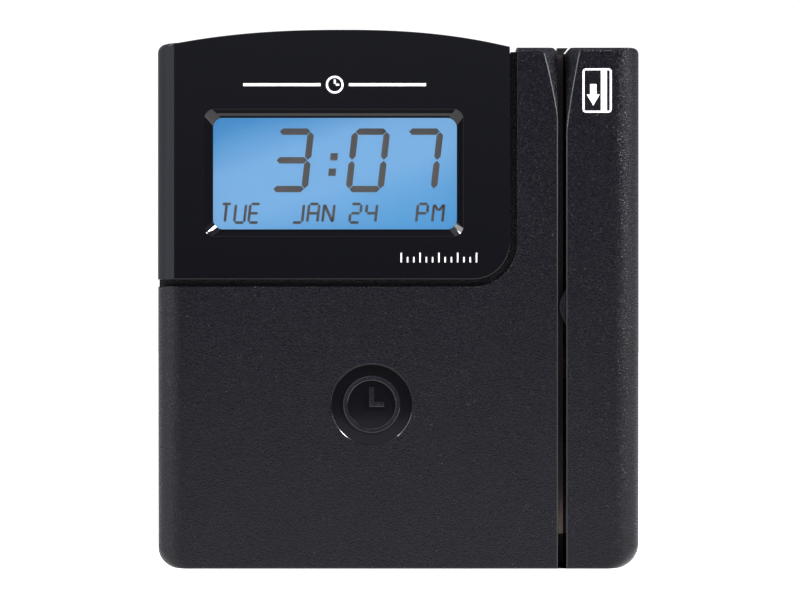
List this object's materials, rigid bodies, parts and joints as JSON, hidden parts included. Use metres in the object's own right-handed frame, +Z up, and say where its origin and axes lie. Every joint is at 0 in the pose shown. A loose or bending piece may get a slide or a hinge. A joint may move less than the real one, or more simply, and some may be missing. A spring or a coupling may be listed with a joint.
{
  "type": "time clock",
  "caption": "Wall-mounted electronic time clock with a swipe slot for cards down its right side, a gloss display bezel with an arched top, and a rear cover with keyhole hangers.",
  "frame": {"origin": "centre of the footprint, on the flat underside", "axes": "+X to the viewer's right, +Y towards the wall, +Z up"},
  "size_m": [0.15, 0.042, 0.1678],
  "materials": {
    "grained_plastic": "fine moulded grain",
    "gloss_bezel": "polished",
    "clear_window": "polished",
    "lcd_blue": "backlit glass cell",
    "diffuser": "frosted",
    "foam": "closed-cell foam",
    "silicone": "smooth",
    "frame_black": "satin",
    "laminate": "solder mask over glass epoxy",
    "epoxy": "moulded",
    "steel": "bright zinc",
    "head_can": "lapped nickel alloy",
    "wear_bronze": "polished by cards",
    "connector_ivory": "moulded",
    "ribbon": "polyimide film",
    "capacitor_sleeve": "shrink sleeve",
    "button_red": "satin"
  },
  "bodies": {
    "root": {"front_housing": "grained_plastic", "reader_cover": "grained_plastic", "display_bezel": "gloss_bezel", "rear_cover": "grained_plastic", "slot_wear_strip": "wear_bronze", "display_window": "clear_window", "display_gasket": "foam", "lcd_glass": "lcd_blue", "light_guide": "diffuser", "backlight_strip": "connector_ivory", "lcd_holder": "frame_black", "zebra_strip": "silicone", "display_board": "laminate", "display_ribbon": "ribbon", "main_board": "laminate", "processor_chip": "epoxy", "memory_chip": "epoxy", "clock_crystal": "steel", "network_magnetics": "epoxy", "buzzer": "epoxy", "cell_holder": "epoxy", "backup_cell": "steel", "capacitor_1": "capacitor_sleeve", "capacitor_2": "capacitor_sleeve", "network_jack": "epoxy", "power_jack": "epoxy", "reset_switch": "epoxy", "reader_connector": "connector_ivory", "reader_board": "laminate", "decoder_chip": "epoxy", "reader_board_connector": "connector_ivory", "reader_cable": "ribbon", "head_spring_1": "steel", "head_spring_2": "steel", "head_screw_1": "steel", "head_screw_2": "steel", "reader_board_screw_1": "steel", "reader_board_screw_2": "steel", "display_screw_1": "steel", "display_screw_2": "steel", "display_screw_3": "steel", "display_screw_4": "steel", "board_screw_1": "steel", "board_screw_2": "steel", "board_screw_3": "steel", "board_screw_4": "steel", "case_screw_1": "steel", "case_screw_2": "steel", "case_screw_3": "steel", "case_screw_4": "steel", "case_screw_5": "steel", "case_screw_6": "steel"},
    "head": {"read_head": "head_can", "head_plate": "steel", "head_cable": "ribbon"},
    "button": {"reset_button": "button_red", "switch_plunger": "epoxy"}
  },
  "joints": [
    {"name": "head_float", "type": "slide", "parent": "root", "child": "head", "axis": [1, 0, 0], "range_m": [0, 0.0008], "stiffness_N_per_m": 600, "springref_m": -0.001, "deforming": ["head_spring_1", "head_spring_2"]},
    {"name": "reset_press", "type": "slide", "parent": "root", "child": "button", "axis": [0, 0, 1], "range_m": [0, 0.0008], "stiffness_N_per_m": 1000, "springref_m": -0.0008}
  ]
}
